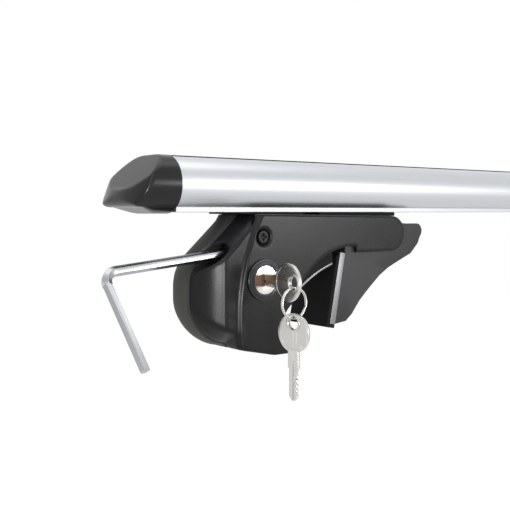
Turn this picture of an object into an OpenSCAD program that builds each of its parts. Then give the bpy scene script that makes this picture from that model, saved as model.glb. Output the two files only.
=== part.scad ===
// Roof rack crossbar: aluminium wing bar on two clamp-on feet, one with its keys and hex key in place.
// Row frame: X along the bar, Z up, origin in the middle of the rubber strip's top (the load face).
// A foot is drawn in its own frame: X inboard from the lock's axis, Z up from the bar's underside.
$fn = 72;

/* [Bar] */
// Length of the aluminium extrusion
bar_len = 1200; // [900:10:1500]
// Width of the extrusion
bar_w = 46; // [42:1:54]
// Height of the extrusion
bar_h = 30.8; // [29:0.2:36]
// Wall thickness of the extrusion
bar_wall = 2; // [1.6:0.1:2.6]
// Width of the flat foot under the extrusion
flange_w = 32.6; // [28:0.2:36]
// Height of the flat foot under the extrusion
flange_h = 2.8; // [2.2:0.1:3.4]
// Width of each T-slot's mouth at the top
top_mouth = 11; // [9:0.5:13]
// Width of the T-slot's mouth underneath
low_mouth = 8.6; // [8:0.2:10]
// Width of both T-slot channels
channel_w = 18; // [16:0.5:20]
// Height of both T-slot channels
channel_h = 5.6; // [5:0.1:7]
// Height of the rubber strip above the aluminium
strip_proud = 0.8; // [0.5:0.1:2]
// Width of the rubber strip's visible lip
strip_w = 12.6; // [12:0.2:15]

/* [End cap] */
// Length of the cap beyond the extrusion
cap_len = 28.5; // [24:0.5:36]
// How far the cap stands proud of the extrusion
cap_proud = 0.8; // [0.3:0.1:1.5]
// Length of the flat on top before the nose falls
cap_flat = 7.5; // [5:0.5:14]
// Radius of the nose tip
nose_r = 5.5; // [3:0.5:7]
// Radius of the nose's crown across the bar
crown_r = 60; // [48:1:80]
// Length of the cap's spigot inside the extrusion
spigot_len = 16; // [10:1:30]

/* [Foot] */
// Distance from the end of the extrusion to the lock's axis
foot_inset = 56; // [50:1:140]
// Half the width of the foot over its front and rear panels
foot_half = 22; // [21:0.5:26]
// Height of the raised panel over the shell's side
panel_raise = 1.6; // [0.8:0.1:2.4]
// Thickness of the shell's wall
shell_wall = 2.9; // [2:0.1:3]
// Half the width of the centre body where it shows between the shells
band_half = 8; // [6:0.5:9]
// Gap between the bar and the foot at the lock's axis
top_gap = 1.1; // [0.8:0.1:2]
// How much that gap grows along the foot's arm
top_fall = 1.2; // [0:0.1:1.4]
// Radius of the round outboard end
bulge_r = 32.9; // [31:0.1:34]
// Radius of the arch that straddles the rail
arch_r = 53.2; // [52:0.1:54]
// Radius of the arm's inboard end
arm_r = 11.6; // [11:0.1:12]
// Distance from the lock's axis to the centre of the arm's round end
arm_len = 106.5; // [104:0.5:110]
// Depth of the foot's sole below the bar
sole_z = 84.2; // [83:0.1:88]

/* [Clamp] */
// Tilt of the clamp screw, rising inboard
screw_tilt = 5.9; // [5:0.1:7]
// Diameter of the clamp screw's thread
screw_d = 8; // [7:0.5:8]
// Distance of the clamp screw from the middle plane
screw_off = 12; // [11:0.25:12.5]
// Depth of the clamp screw below the bar at the lock's axis
screw_drop = 21.4; // [21:0.1:22]
// Width across the flats of the hex key and its socket
hex_af = 5; // [4:0.5:6]
// Wall thickness of the jaw
jaw_wall = 3; // [2.4:0.1:4]
// Lean of the clamp plate
plate_lean = 10.8; // [9:0.2:13]
// Thickness of the clamp plate
plate_t = 4.4; // [3:0.1:5]
// Thickness of the rubber on the clamp plate
pad_t = 2.2; // [1.5:0.1:3]

/* [Lock and keys] */
// Depth of the lock's axis below the bar
lock_drop = 39.2; // [39:0.1:40]
// Diameter of the lock's bezel
bezel_d = 24.4; // [22:0.2:26]
// Diameter of the lock's turning face
plug_face_d = 16.6; // [16:0.1:17]
// Diameter of a key's bow
bow_d = 22; // [18:0.5:24]
// Thickness of a key
key_t = 2; // [1.8:0.1:2.4]
// Width of a key's blade
blade_w = 5.7; // [5:0.1:6]
// Length of a key's blade
blade_len = 18; // [14:0.5:18]
// Length of a key's neck between its bow and its blade
neck_len = 10; // [8:0.5:12]
// Width of a key's neck
neck_w = 7.5; // [6.5:0.1:9]
// Diameter of the key ring, measured along its wire's middle
ring_d = 16.8; // [15:0.2:20]
// Diameter of the key ring's wire
ring_wire = 1.2; // [1:0.1:1.6]

/* [Hex key] */
// Length of the arm that goes into the foot, from the middle of the bend
hex_long = 85.6; // [80:0.2:100]
// Length of the free arm, from the middle of the bend
hex_short = 58.5; // [40:0.5:62]
// Radius of the bend along its middle
hex_bend_r = 8; // [6:0.5:10]
// How far the free arm swings forward of straight down
hex_swing = 38; // [0:1:60]

/* [Fits] */
// Clearance between moulded pieces of one body
fit_gap = 0.2; // [0.1:0.05:0.3]
// Radial clearance of a turning fit
turn_gap = 0.05; // [0.03:0.01:0.08]
// Clearance beside the sliding jaw
slide_gap = 0.3; // [0.25:0.05:0.4]

/* [Hidden] */
FOOT_PARTS = [
    "centre_body", "front_shell", "rear_shell", "saddle_pads", "steel_bracket",
    "tee_bolts", "tee_nuts", "guide_pin", "rail_saddle", "saddle_liner",
    "clamp_screw", "thrust_washer", "jaw", "jaw_nut", "clamp_plate",
    "jaw_pad", "lock_barrel", "lock_nut", "lock_plug", "lock_cam",
    "cam_screw", "shell_screws"
];

// Row frame
load_z = 0;
bar_top = load_z - strip_proud;
bar_under = bar_top - bar_h;
foot_x = bar_len / 2 - foot_inset;

// Bar section, with the underside at 0
end_r = bar_h / 2;
end_y = bar_w / 2 - end_r;
low_lip = flange_h;
top_lip = bar_wall;

// Longer than any part that a cut goes through
cut = 100;

// End cap: its nose's circle and fall, how far its flat underside reaches, and its crown's axis
nose_lift = 2.6;
under_share = 0.38;
nose_x = cap_len - nose_r;
nose_z = nose_r + nose_lift;
nose_run = nose_x - cap_flat;
nose_rise = bar_h + cap_proud - nose_z;
nose_fall = atan2(nose_rise, nose_run) + asin(nose_r / sqrt(nose_run * nose_run + nose_rise * nose_rise));
crown_sink = 0.2;
crown_x = nose_x + (nose_r - crown_sink - crown_r) * sin(nose_fall);
crown_z = nose_z + (nose_r - crown_sink - crown_r) * cos(nose_fall);

// Foot outline, in the foot's frame
bulge_x = -13.5;
bulge_z = -46;
shoulder_turn = 41.9;
shoulder_x = bulge_x - bulge_r * sin(shoulder_turn);
shoulder_z = bulge_z + bulge_r * cos(shoulder_turn);
heel_turn = 11.3;
heel_x = bulge_x - bulge_r * sin(heel_turn);
heel_z = bulge_z - bulge_r * cos(heel_turn);
sole_x = 8;
arch_x = 71.4;
arch_z = -74.6;
throat_x = 30.8;
throat_z = -68.5;
throat_r = 16.5;
arm_z = -top_gap - top_fall - arm_r;
arm_under = arm_z - arm_r;
arm_step_x = 74;
function top_at(x) = -top_gap - top_fall * x / arm_len;
crest_x = shoulder_x + (-top_gap - shoulder_z) / tan(shoulder_turn);

// Plan outline of the outboard end
side_half = foot_half - panel_raise;
cavity_half = foot_half - shell_wall;
jaw_half = cavity_half - slide_gap;
tip_r = 12.8;
tip_x = -46.4 + tip_r;
tip_join_y = 7.5;
tip_join_x = tip_x - sqrt(tip_r * tip_r - tip_join_y * tip_join_y);
flank_r = 33.4;
flank_cx = tip_x + (flank_r - tip_r) * cos(asin(tip_join_y / tip_r));
flank_cy = (flank_r - tip_r) * tip_join_y / tip_r;

// Raised panel's outboard edge: one long arc
panel_edge_r = 118;
panel_edge_x = -17;
panel_edge_z = -60;

// Rim of the outboard end: an arc across it, then a straight fall, and a ledge beside the panel
rim_r = 18.5;
wheel_fall = 29;
wheel_sink = 0.1;
straight_fall = 30.5;
straight_sink = 0.3;
rim_ledge = 2;

// Bracket
plate_under = 5.8;
bracket_t = 2;
thrust_t = 3;
thrust_drop = 9;
bracket_half = 15;
cheek_t = 2.5;
cheek_from = 95;
bracket_end = 112;
bracket_from = -9.6;
bolt_x = [20, 46];
bolt_d = 6;
bolt_play = 0.6;
nut_af = 10;
nut_h = 5;
spanner_d = 13;

// Clamp screw, measured along its axis from the lock's plane
head_d = 13;
head_h = 6;
socket_depth = 4;
head_at = -17;
washer_t = 1.6;
washer_d = 14;
thrust_at = head_at + head_h + washer_t;
screw_end = 92;
collar_af = 11;
collar_at = 9;
collar_len = 5;
hole_d = 12;
nut_at = 68.5;
jaw_nut_t = 6.5;
jaw_nut_af = 13;

// Jaw
core_end = 58.5;
jaw_top = 7.5;
jaw_front_x = 62;
jaw_open = 12.5;
jaw_close = 2.5;
plate_x = 54.3;
plate_z = -69.6;
plate_len = 45.5;
pin_x = 104;
pin_z = -15.4;
pin_d = 6;

// Lock
cam_turn_r = 16;
cam_finger_d = 4;
cam_tip_d = 8;
cam_rest = 45.4;
barrel_d = 18;
plug_d = 14.8;
barrel_back = 0.5;
cam_y = 1;
cam_t = 2.5;
keyway_w = key_t + 0.3;
keyway_h = blade_w + 0.5;
ring_hole_d = 7.2;
ring_boss_d = 10;
ring_boss_t = 0.35;
ring_play = 0.3;
bow_out = neck_len + bow_d / 2 - 1;
ring_y = -foot_half - 1.4 - bow_out - ring_hole_off();
function ring_hole_off() = bow_d / 4;
ring_top_z = -lock_drop - ring_hole_d / 2 + ring_wire / 2 + ring_play;
ring_z = ring_top_z - ring_d / 2;
spare_turn = 10;

// Shell screws at [x, z]: one through the front shell, three through the rear one
front_screws = [[-0.4, -14.4]];
rear_screws = [[-0.4, -14.4], [-12, -72], [42, -24.6]];
function shell_screws_on(side) = side < 0 ? front_screws : rear_screws;
screw_recess_d = 10;
screw_seat = 0.9;
pilot_d = 3.4;
pilot_end = 6;

// Moulding pockets behind the rear shell at [x, z, radius]
core_pockets = [[-22, -52, 7], [-6, -68, 4.5], [-22, -34, 5]];

// Rubber pads along the foot's top, with the gap between them
pad_from = -13;
pad_gap_from = 35;
pad_gap_end = 48;
pad_end = 114;

// A profile drawn in X and Z, pulled along Y from y0 to y1
module slab(y0, y1) {
    translate([0, y1, 0]) rotate([90, 0, 0]) linear_extrude(height = y1 - y0) children();
}

// A plan drawn in X and Y, pulled up from z0 to z1
module column(z0, z1) {
    translate([0, 0, z0]) linear_extrude(height = z1 - z0) children();
}

// A rod along Y from y0 to y1
module cross_rod(x, z, d, y0, y1) {
    translate([x, y1, z]) rotate([90, 0, 0]) cylinder(d = d, h = y1 - y0);
}

// Children drawn along +Z come to lie along the clamp screw, s millimetres from the lock's plane
module on_screw(s) {
    translate([0, -screw_off, -screw_drop]) rotate([0, -screw_tilt, 0])
        translate([s, 0, 0]) rotate([0, 90, 0]) children();
}

// Bar section

module stadium(r, grow) {
    union() {
        translate([-end_y, r]) circle(r = r + grow);
        translate([end_y, r]) circle(r = r + grow);
        translate([-end_y, -grow]) square([2 * end_y, 2 * r + 2 * grow]);
    }
}

module channel_low() {
    translate([-channel_w / 2, low_lip]) square([channel_w, channel_h]);
    translate([-low_mouth / 2, -1]) square([low_mouth, low_lip + 2]);
}

module channel_top() {
    translate([-channel_w / 2, bar_h - top_lip - channel_h]) square([channel_w, channel_h]);
    translate([-top_mouth / 2, bar_h - top_lip - 1]) square([top_mouth, top_lip + 2]);
}

// The two hollow chambers beside the channels and the one between them
module chambers() {
    difference() {
        union() {
            translate([-end_y, end_r]) circle(r = end_r - bar_wall);
            translate([end_y, end_r]) circle(r = end_r - bar_wall);
            translate([-end_y, bar_wall]) square([2 * end_y, bar_h - 2 * bar_wall]);
        }
        translate([-channel_w / 2 - bar_wall, -1])
            square([channel_w + 2 * bar_wall, low_lip + channel_h + bar_wall + 1]);
        translate([-channel_w / 2 - bar_wall, bar_h - top_lip - channel_h - bar_wall])
            square([channel_w + 2 * bar_wall, channel_h + top_lip + bar_wall + 1]);
        translate([-channel_w / 2 - bar_wall, 0]) square([bar_wall, bar_h]);
        translate([channel_w / 2, 0]) square([bar_wall, bar_h]);
    }
}

module bar_section() {
    difference() {
        union() {
            stadium(end_r, 0);
            translate([-flange_w / 2, 0]) square([flange_w, flange_h]);
        }
        channel_low();
        channel_top();
        chambers();
    }
}

// A section drawn in Y and Z, pulled along X from x0 to x1
module along_bar(x0, x1) {
    translate([x0, 0, bar_under]) rotate([90, 0, 90]) linear_extrude(height = x1 - x0) children();
}

module bar() {
    color("gainsboro") along_bar(-bar_len / 2, bar_len / 2) bar_section();
}

module top_strip() {
    lip = strip_proud;
    stem_w = top_mouth - 2 * fit_gap;
    color([0.06, 0.06, 0.06]) along_bar(-bar_len / 2 + fit_gap, bar_len / 2 - fit_gap) {
        translate([-strip_w / 2, bar_h]) square([strip_w, lip]);
        translate([-stem_w / 2, bar_h - top_lip - 1]) square([stem_w, top_lip + 1.5]);
        translate([-stem_w / 2 - 1.6, bar_h - top_lip - 1.5]) square([stem_w + 3.2, 1.4]);
    }
}

// End caps

module cap_side() {
    union() {
        translate([nose_x, nose_z]) circle(r = nose_r);
        polygon([
            [0, -cap_proud],
            [0, bar_h + cap_proud],
            [cap_flat, bar_h + cap_proud],
            [nose_x + nose_r * sin(nose_fall), nose_z + nose_r * cos(nose_fall)],
            [nose_x, nose_z],
            [nose_x - 2, nose_z - nose_r],
            [under_share * cap_len, -cap_proud]
        ]);
    }
}

// Drawn with the extrusion's end at x = 0, pointing to +X
module end_cap() {
    gap = fit_gap;
    color([0.05, 0.05, 0.055]) {
        intersection() {
            rotate([90, 0, 90]) linear_extrude(height = cap_len + 1) stadium(end_r, cap_proud);
            slab(-bar_w, bar_w) cap_side();
            translate([crown_x, 0, crown_z]) rotate([0, nose_fall - 90, 0])
                cylinder(r = crown_r, h = 4 * cut, center = true, $fn = 180);
        }
        for (side = [-1, 1]) translate([-spigot_len, 0, 0]) rotate([90, 0, 90])
            linear_extrude(height = spigot_len + 1) difference() {
                translate([side * end_y, end_r]) circle(r = end_r - bar_wall - gap);
                translate([side > 0 ? -bar_w : -channel_w / 2 - bar_wall - gap, -1])
                    square([bar_w + channel_w / 2 + bar_wall + gap, bar_h + 2]);
            }
    }
}

module end_cap_a() {
    translate([-bar_len / 2, 0, bar_under]) rotate([0, 0, 180]) end_cap();
}

module end_cap_b() {
    translate([bar_len / 2, 0, bar_under]) end_cap();
}

// Foot outlines

// Side view of the whole foot without its jaw
module foot_side() {
    difference() {
        union() {
            translate([bulge_x, bulge_z]) circle(r = bulge_r);
            polygon([
                [shoulder_x, shoulder_z],
                [crest_x, top_at(crest_x)],
                [arm_len, top_at(arm_len)],
                [arm_len, arm_under],
                [arm_step_x, arm_under],
                [arm_step_x, -sole_z],
                [sole_x, -sole_z],
                [heel_x, heel_z],
                [bulge_x, bulge_z]
            ]);
            translate([arm_len, arm_z]) circle(r = arm_r);
        }
        translate([arch_x, arch_z]) intersection() {
            circle(r = arch_r, $fn = 144);
            translate([-arch_r - 1, -arch_r]) square([arch_r + 1 + arm_step_x - arch_x, 2 * arch_r]);
        }
        translate([throat_x, throat_z]) circle(r = throat_r);
        translate([throat_x, -sole_z - 30]) square([arm_step_x, 40]);
    }
}

// Plan of the foot: rounded outboard end, straight flanks at y = half
module foot_plan(half, inset = 0) {
    intersection() {
        union() {
            intersection() {
                translate([flank_cx, flank_cy]) circle(r = flank_r - inset, $fn = 144);
                translate([flank_cx, -flank_cy]) circle(r = flank_r - inset, $fn = 144);
                translate([tip_join_x + inset, -foot_half]) square([flank_cx - tip_join_x, 2 * foot_half]);
            }
            translate([tip_x, 0]) circle(r = tip_r - inset);
            translate([flank_cx - 10, -half]) square([200, 2 * half]);
        }
        translate([-60, -half]) square([240, 2 * half]);
    }
}

// Everything inboard of one long arc
module panel_zone(grow) {
    translate([panel_edge_x + panel_edge_r, panel_edge_z]) circle(r = panel_edge_r + grow, $fn = 180);
    translate([20, -cut]) square([1.5 * cut, cut]);
}

// The raised panel
module panel_side() {
    intersection() {
        foot_side();
        panel_zone(0);
    }
}

// Section through the rim: x outward from the bulge's axis, y across the foot
module rim_profile(inset, reach, fall) {
    r = rim_r - inset;
    join_x = bulge_r - rim_r + r * cos(fall);
    join_y = r * sin(fall);
    end_x = join_x - (reach - join_y) * tan(fall);
    translate([bulge_r - rim_r, 0]) circle(r = r);
    polygon([[-cut, -reach], [end_x, -reach], [join_x, -join_y], [join_x, join_y], [end_x, reach], [-cut, reach]]);
}

// The rim's section pulled straight along the shoulder or the heel
module rim_straight(tilt, inset) {
    translate([bulge_x, 0, bulge_z]) rotate([0, tilt, 0]) translate([0, 0, -cut])
        linear_extrude(height = 2 * cut) translate([-straight_sink, 0])
            rim_profile(inset, foot_half + 3, straight_fall);
}

// The rim's section turned about the bulge's axis
module rim_wheel(inset) {
    translate([bulge_x, 0, bulge_z]) rotate([-90, 0, 0]) rotate_extrude($fn = 144) intersection() {
        translate([-wheel_sink, 0]) rim_profile(inset, foot_half + 1, wheel_fall);
        translate([0, -cut]) square([cut, 2 * cut]);
    }
}

// Everything inboard of the bulge's turned part
module rim_inboard() {
    polygon([
        [bulge_x, bulge_z],
        [bulge_x - cut * sin(shoulder_turn), bulge_z + cut * cos(shoulder_turn)],
        [2 * cut, cut],
        [2 * cut, -2 * cut],
        [bulge_x - cut * sin(heel_turn), bulge_z - cut * cos(heel_turn)]
    ]);
}

// The outboard end falls away to its sides outside this body
module rim_body(inset) {
    intersection() {
        union() {
            rim_wheel(inset);
            slab(-foot_half - 2, foot_half + 2) rim_inboard();
        }
        rim_straight(-90 - shoulder_turn, inset);
        rim_straight(90 + heel_turn, inset);
    }
    slab(-foot_half - 1.5, foot_half + 1.5) panel_zone(rim_ledge - inset);
}

// Side view of the space inside the shells
module cavity_side(inset) {
    roof = -plate_under + bracket_t + fit_gap;
    union() {
        translate([bulge_x, bulge_z]) circle(r = bulge_r - inset);
        polygon([
            [shoulder_x + inset * sin(shoulder_turn), shoulder_z - inset * cos(shoulder_turn)],
            [crest_x + inset, roof],
            [arm_len + 40, roof],
            [arm_len + 40, -sole_z + 6 + inset],
            [sole_x + 12, -sole_z + inset],
            [sole_x, -sole_z + inset],
            [heel_x, heel_z + inset],
            [bulge_x, bulge_z]
        ]);
    }
}

// Centre body: what shows between the shells, and the wide core inside them

// The hex key's way in and the room round the screw's head
module screw_entry() {
    on_screw(-70) cylinder(d = hole_d, h = 70 + head_at);
    on_screw(head_at - 3) cylinder(d = washer_d + 0.6, h = thrust_at - head_at + 3 + thrust_t + 0.2);
}

module screw_passage() {
    screw_entry();
    on_screw(thrust_at) cylinder(d = screw_d + 1, h = 120);
}

module lock_pocket() {
    cross_rod(0, -lock_drop, 2 * (cam_turn_r + cam_tip_d / 2 + 0.6), -foot_half + shell_wall - 0.5, 7);
}

// The collar turns here
module collar_pocket() {
    on_screw(collar_at - 1) cylinder(d = collar_af / cos(30) + 1, h = collar_len + 2);
}

// Side view of the bracket: the plate under the bar and the wall that takes the screw's thrust
module bracket_side(gap) {
    translate([bracket_from - gap, -plate_under - gap])
        square([bracket_end - bracket_from + 2 * gap, bracket_t + 2 * gap]);
    intersection() {
        translate([0, -screw_drop]) rotate(screw_tilt)
            translate([thrust_at - gap, -thrust_drop - gap]) square([thrust_t + 2 * gap, cut]);
        translate([-cut, -cut - plate_under + bracket_t / 2]) square([2 * cut, cut]);
    }
}

module bracket_space(gap) {
    slab(-bracket_half - gap, bracket_half + gap) bracket_side(gap);
}

module bolt_spaces() {
    for (x = bolt_x) {
        translate([x, 0, -40]) cylinder(d = bolt_d + bolt_play, h = 45);
        translate([x, 0, -90]) cylinder(d = spanner_d, h = 90 - plate_under + 0.01);
    }
}

module shell_screw_pilots() {
    for (side = [-1, 1], at = shell_screws_on(side)) translate([at[0], 0, at[1]]) rotate([side * -90, 0, 0])
        translate([0, 0, pilot_end]) cylinder(d = pilot_d, h = foot_half - pilot_end);
}

module core_side() {
    difference() {
        intersection() {
            cavity_side(shell_wall + fit_gap);
            foot_side();
        }
        arm_hollow();
    }
}

// Everything inboard of the core and under the bracket's plate is the jaw's
module arm_hollow() {
    translate([core_end, -cut]) square([cut, cut - plate_under + bracket_t + fit_gap]);
}

module centre_side() {
    difference() {
        foot_side();
        arm_hollow();
    }
}

module centre_body() {
    color([0.2, 0.2, 0.18]) difference() {
        union() {
            intersection() {
                slab(-band_half, band_half) centre_side();
                column(-100, 5) foot_plan(side_half);
                rim_body(0);
            }
            intersection() {
                slab(-cavity_half + fit_gap, cavity_half - fit_gap) core_side();
                column(-100, 5) foot_plan(cavity_half - fit_gap, shell_wall + fit_gap);
                rim_body(shell_wall + fit_gap);
            }
        }
        screw_passage();
        lock_pocket();
        collar_pocket();
        bracket_space(turn_gap);
        bolt_spaces();
        shell_screw_pilots();
        rear_lightening();
    }
}

// Moulding pockets in the rear half of the core, open to the rear shell
module rear_lightening() {
    slab(band_half + 2, foot_half) for (at = core_pockets) translate([at[0], at[1]]) circle(r = at[2]);
}

// Shells

module shell(side) {
    y_out = side * foot_half;
    y_in = side * band_half;
    y_hollow = side * cavity_half;
    color([0.06, 0.06, 0.065]) difference() {
        union() {
            intersection() {
                slab(min(y_out, y_in), max(y_out, y_in)) foot_side();
                column(-100, 5) foot_plan(side_half);
                rim_body(0);
            }
            slab(min(y_out, side * (side_half - 1)), max(y_out, side * (side_half - 1)))
                panel_side();
        }
        intersection() {
            slab(min(y_hollow, y_in - side), max(y_hollow, y_in - side)) cavity_side(shell_wall);
            column(-100, 5) foot_plan(cavity_half, shell_wall);
            rim_body(shell_wall);
        }
        if (side < 0) {
            screw_entry();
            cross_rod(0, -lock_drop, barrel_d + 2 * fit_gap, -foot_half - 1, -foot_half + 6);
        }
        for (at = shell_screws_on(side)) translate([at[0], 0, at[1]]) rotate([side * -90, 0, 0]) {
            cylinder(d = 4.4, h = foot_half + 1);
            translate([0, 0, cavity_half + screw_seat]) cylinder(d = screw_recess_d, h = 10);
        }
    }
}

module front_shell() {
    shell(-1);
}

module rear_shell() {
    shell(1);
}

module shell_screws() {
    color("silver") for (side = [-1, 1], at = shell_screws_on(side)) {
        translate([at[0], side * (cavity_half + screw_seat), at[1]]) rotate([side * -90, 0, 0]) difference() {
            union() {
                cylinder(d = 7.4, h = 1.6);
                translate([0, 0, -8]) cylinder(d = 3.2, h = 8.5);
            }
            translate([-2.2, -0.5, 0.8]) cube([4.4, 1, 2]);
            translate([-0.5, -2.2, 0.8]) cube([1, 4.4, 2]);
        }
    }
}

// Rubber between the bar and the foot

module saddle_pads() {
    color([0.09, 0.09, 0.09]) difference() {
        slab(-flange_w / 2, flange_w / 2) {
            polygon([
                [pad_from, 0],
                [pad_gap_from, 0],
                [pad_gap_from, top_at(pad_gap_from)],
                [pad_from, top_at(pad_from)]
            ]);
            polygon([
                [pad_gap_end, 0],
                [pad_end, 0],
                [pad_end, top_at(arm_len)],
                [arm_len, top_at(arm_len)],
                [pad_gap_end, top_at(pad_gap_end)]
            ]);
        }
        for (x = bolt_x) translate([x, 0, -5]) cylinder(d = bolt_d + bolt_play, h = 10);
    }
}

// Steel bracket that ties the bar, the clamp screw and the jaw's guide pin together

module steel_bracket() {
    color("lightslategray") difference() {
        union() {
            intersection() {
                bracket_space(0);
                rim_body(shell_wall + 2 * fit_gap);
            }
            for (y0 = [-bracket_half, bracket_half - cheek_t]) translate([cheek_from, y0, pin_z - pin_d])
                cube([bracket_end - cheek_from, cheek_t, -plate_under - pin_z + pin_d + bracket_t / 4]);
        }
        on_screw(thrust_at - 5) cylinder(d = screw_d + 1, h = 15);
        for (x = bolt_x) translate([x, 0, -20]) cylinder(d = bolt_d + bolt_play, h = 30);
        cross_rod(pin_x, pin_z, pin_d + 2 * turn_gap, -foot_half, foot_half);
    }
}

module guide_pin() {
    color("silver") cross_rod(pin_x, pin_z, pin_d, -jaw_half + 0.3, jaw_half - 0.3);
}

module tee_bolts() {
    head_w = channel_w - 1;
    head_t = 4;
    color("silver") for (x = bolt_x) translate([x, 0, 0]) {
        translate([-6, -head_w / 2, low_lip + 0.1]) cube([12, head_w, head_t]);
        translate([0, 0, -plate_under - nut_h - 2])
            cylinder(d = bolt_d, h = plate_under + nut_h + 2 + low_lip + 1);
    }
}

module tee_nuts() {
    color("silver") for (x = bolt_x) translate([x, 0, -plate_under - nut_h]) difference() {
        cylinder(d = nut_af / cos(30), h = nut_h - 0.05, $fn = 6);
        translate([0, 0, -1]) cylinder(d = bolt_d + 2 * turn_gap, h = nut_h + 2);
    }
}

// Fixed saddle over the rail: its face is a shallow arc between two corners of the arch
saddle_a = [28.6, -47.6];
saddle_b = [61.5, -31.1];
saddle_r = 85;
saddle_cut = 5.2;

function arc_centre(a, b, r) = let (
    mid = (a + b) / 2,
    half = norm(b - a) / 2,
    dir = (b - a) / norm(b - a),
    rise = sqrt(r * r - half * half)
) [mid[0] + rise * dir[1], mid[1] - rise * dir[0]];

module saddle_band(extra) {
    c = arc_centre(saddle_a, saddle_b, saddle_r);
    intersection() {
        difference() {
            translate([arch_x, arch_z]) circle(r = arch_r, $fn = 144);
            translate(c) circle(r = saddle_r + extra, $fn = 180);
        }
        polygon([
            saddle_a + [-6, 3],
            saddle_a + [6, -12],
            saddle_b + [-saddle_cut, -9],
            saddle_b + [-saddle_cut, 14],
            saddle_a + [0, 30]
        ]);
    }
}

module rail_saddle() {
    color([0.22, 0.22, 0.2]) difference() {
        slab(-jaw_half + 0.4, jaw_half - 0.4) saddle_band(1.2);
        for (x = bolt_x) translate([x, 0, -90]) cylinder(d = spanner_d, h = 90);
        on_screw(20) cylinder(d = screw_d + 1, h = 60);
    }
}

module saddle_liner() {
    color("darkgray") difference() {
        slab(-jaw_half + 0.4, jaw_half - 0.4) difference() {
            saddle_band(0);
            saddle_band_fill();
        }
        for (x = bolt_x) translate([x, 0, -90]) cylinder(d = spanner_d, h = 90);
    }
}

module saddle_band_fill() {
    c = arc_centre(saddle_a, saddle_b, saddle_r);
    difference() {
        translate([arch_x, arch_z]) circle(r = arch_r + 20, $fn = 144);
        translate(c) circle(r = saddle_r + 1.15, $fn = 180);
    }
}

// Clamp screw and jaw

module clamp_screw() {
    color("silver") difference() {
        union() {
            on_screw(head_at) cylinder(d = head_d, h = head_h);
            on_screw(head_at + head_h - 0.5) cylinder(d = screw_d, h = screw_end - head_at - head_h + 0.5);
            on_screw(collar_at) linear_extrude(height = collar_len) hexagon(collar_af);
        }
        on_screw(head_at - 1) rotate([0, 0, -hex_swing])
            linear_extrude(height = socket_depth + 1) hexagon(hex_af + 2 * turn_gap);
    }
}

module thrust_washer() {
    color("silver") on_screw(thrust_at - washer_t + 0.02) difference() {
        cylinder(d = washer_d, h = washer_t - 0.04);
        translate([0, 0, -1]) cylinder(d = screw_d + 0.6, h = 4);
    }
}

module jaw_side() {
    union() {
        polygon([
            plate_corner(plate_t, plate_len),
            [jaw_front_x + 3, -jaw_top],
            [133, -jaw_top],
            [138.2, -12.1],
            [134.3, -20.9],
            [127.4, -27.5],
            [116.7, -31.8],
            [106.3, -36.1],
            [97.9, -41],
            [88.8, -48.4],
            [79.9, -56.3],
            [72.9, -64.8],
            [67.7, -68.9],
            [60, -69.8],
            plate_corner(plate_t, 0.5)
        ]);
        translate([133, -jaw_top - 5]) circle(r = 5);
    }
}

function plate_corner(across, up) = [
    plate_x + across * cos(plate_lean) + up * sin(plate_lean),
    plate_z - across * sin(plate_lean) + up * cos(plate_lean)
];

module jaw_hollow() {
    w = jaw_wall;
    polygon([
        plate_corner(plate_t + w, plate_len + 4),
        [jaw_front_x + 3 + w, 5],
        [131, 5],
        [131, -14],
        [125, -24.5],
        [115, -28.6],
        [104.6, -33],
        [95.8, -38],
        [86.4, -45.8],
        [77.4, -53.8],
        [71, -61.6],
        [66.6, -65.5],
        plate_corner(plate_t + w, 5)
    ]);
}

module jaw() {
    color([0.2, 0.2, 0.21]) difference() {
        union() {
            difference() {
                slab(-jaw_half, jaw_half) jaw_side();
                slab(-jaw_half + jaw_wall, jaw_half - jaw_wall) jaw_hollow();
            }
            // Nut pocket's block, and ribs across the hollow
            intersection() {
                slab(-jaw_half + 1, 2) jaw_side();
                on_screw(nut_at - 5) translate([-12, -9, 0]) cube([19, 18, 15]);
            }
            slab(-1.2, 1.2) intersection() {
                jaw_side();
                polygon([[60, -66], [66, -30], [86, -26], [86, -60], [70, -68]]);
            }
        }
        on_screw(20) cylinder(d = screw_d + 1, h = 120);
        on_screw(nut_at - 0.1) translate([-jaw_nut_af / 2 - 20, -jaw_nut_af / 2 - 0.1, 0])
            cube([jaw_nut_af + 20.1, jaw_nut_af + 0.2, jaw_nut_t + 0.2]);
        // Slots that ride on the guide pin
        slab(-foot_half, foot_half) pin_slot();
    }
}

module pin_slot() {
    run = [cos(screw_tilt), sin(screw_tilt)];
    a = [pin_x, pin_z] - run * (jaw_open + 0.5);
    b = [pin_x, pin_z] + run * (jaw_close + 0.5);
    r = pin_d / 2 + 0.2;
    translate(a) circle(r = r);
    translate(b) circle(r = r);
    translate(a) rotate(screw_tilt) translate([0, -r]) square([norm(b - a), 2 * r]);
}

module jaw_nut() {
    color("silver") on_screw(nut_at) difference() {
        translate([-jaw_nut_af / 2, -jaw_nut_af / 2, 0]) cube([jaw_nut_af, jaw_nut_af, jaw_nut_t]);
        translate([0, 0, -1]) cylinder(d = screw_d + 2 * turn_gap, h = 10);
    }
}

module clamp_plate() {
    color("lightgray") slab(-jaw_half, jaw_half) polygon([
        plate_corner(0, 0), plate_corner(plate_t - 0.02, 0),
        plate_corner(plate_t - 0.02, plate_len), plate_corner(0, plate_len)
    ]);
}

module jaw_pad() {
    color([0.05, 0.05, 0.05]) slab(-jaw_half + 0.3, jaw_half - 0.3) polygon([
        plate_corner(-pad_t, -2.4), plate_corner(plate_t, -2.4),
        plate_corner(plate_t, -0.02), plate_corner(-0.02, -0.02),
        plate_corner(-0.02, plate_len - 1), plate_corner(-pad_t, plate_len - 3)
    ]);
}

// Lock

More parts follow.
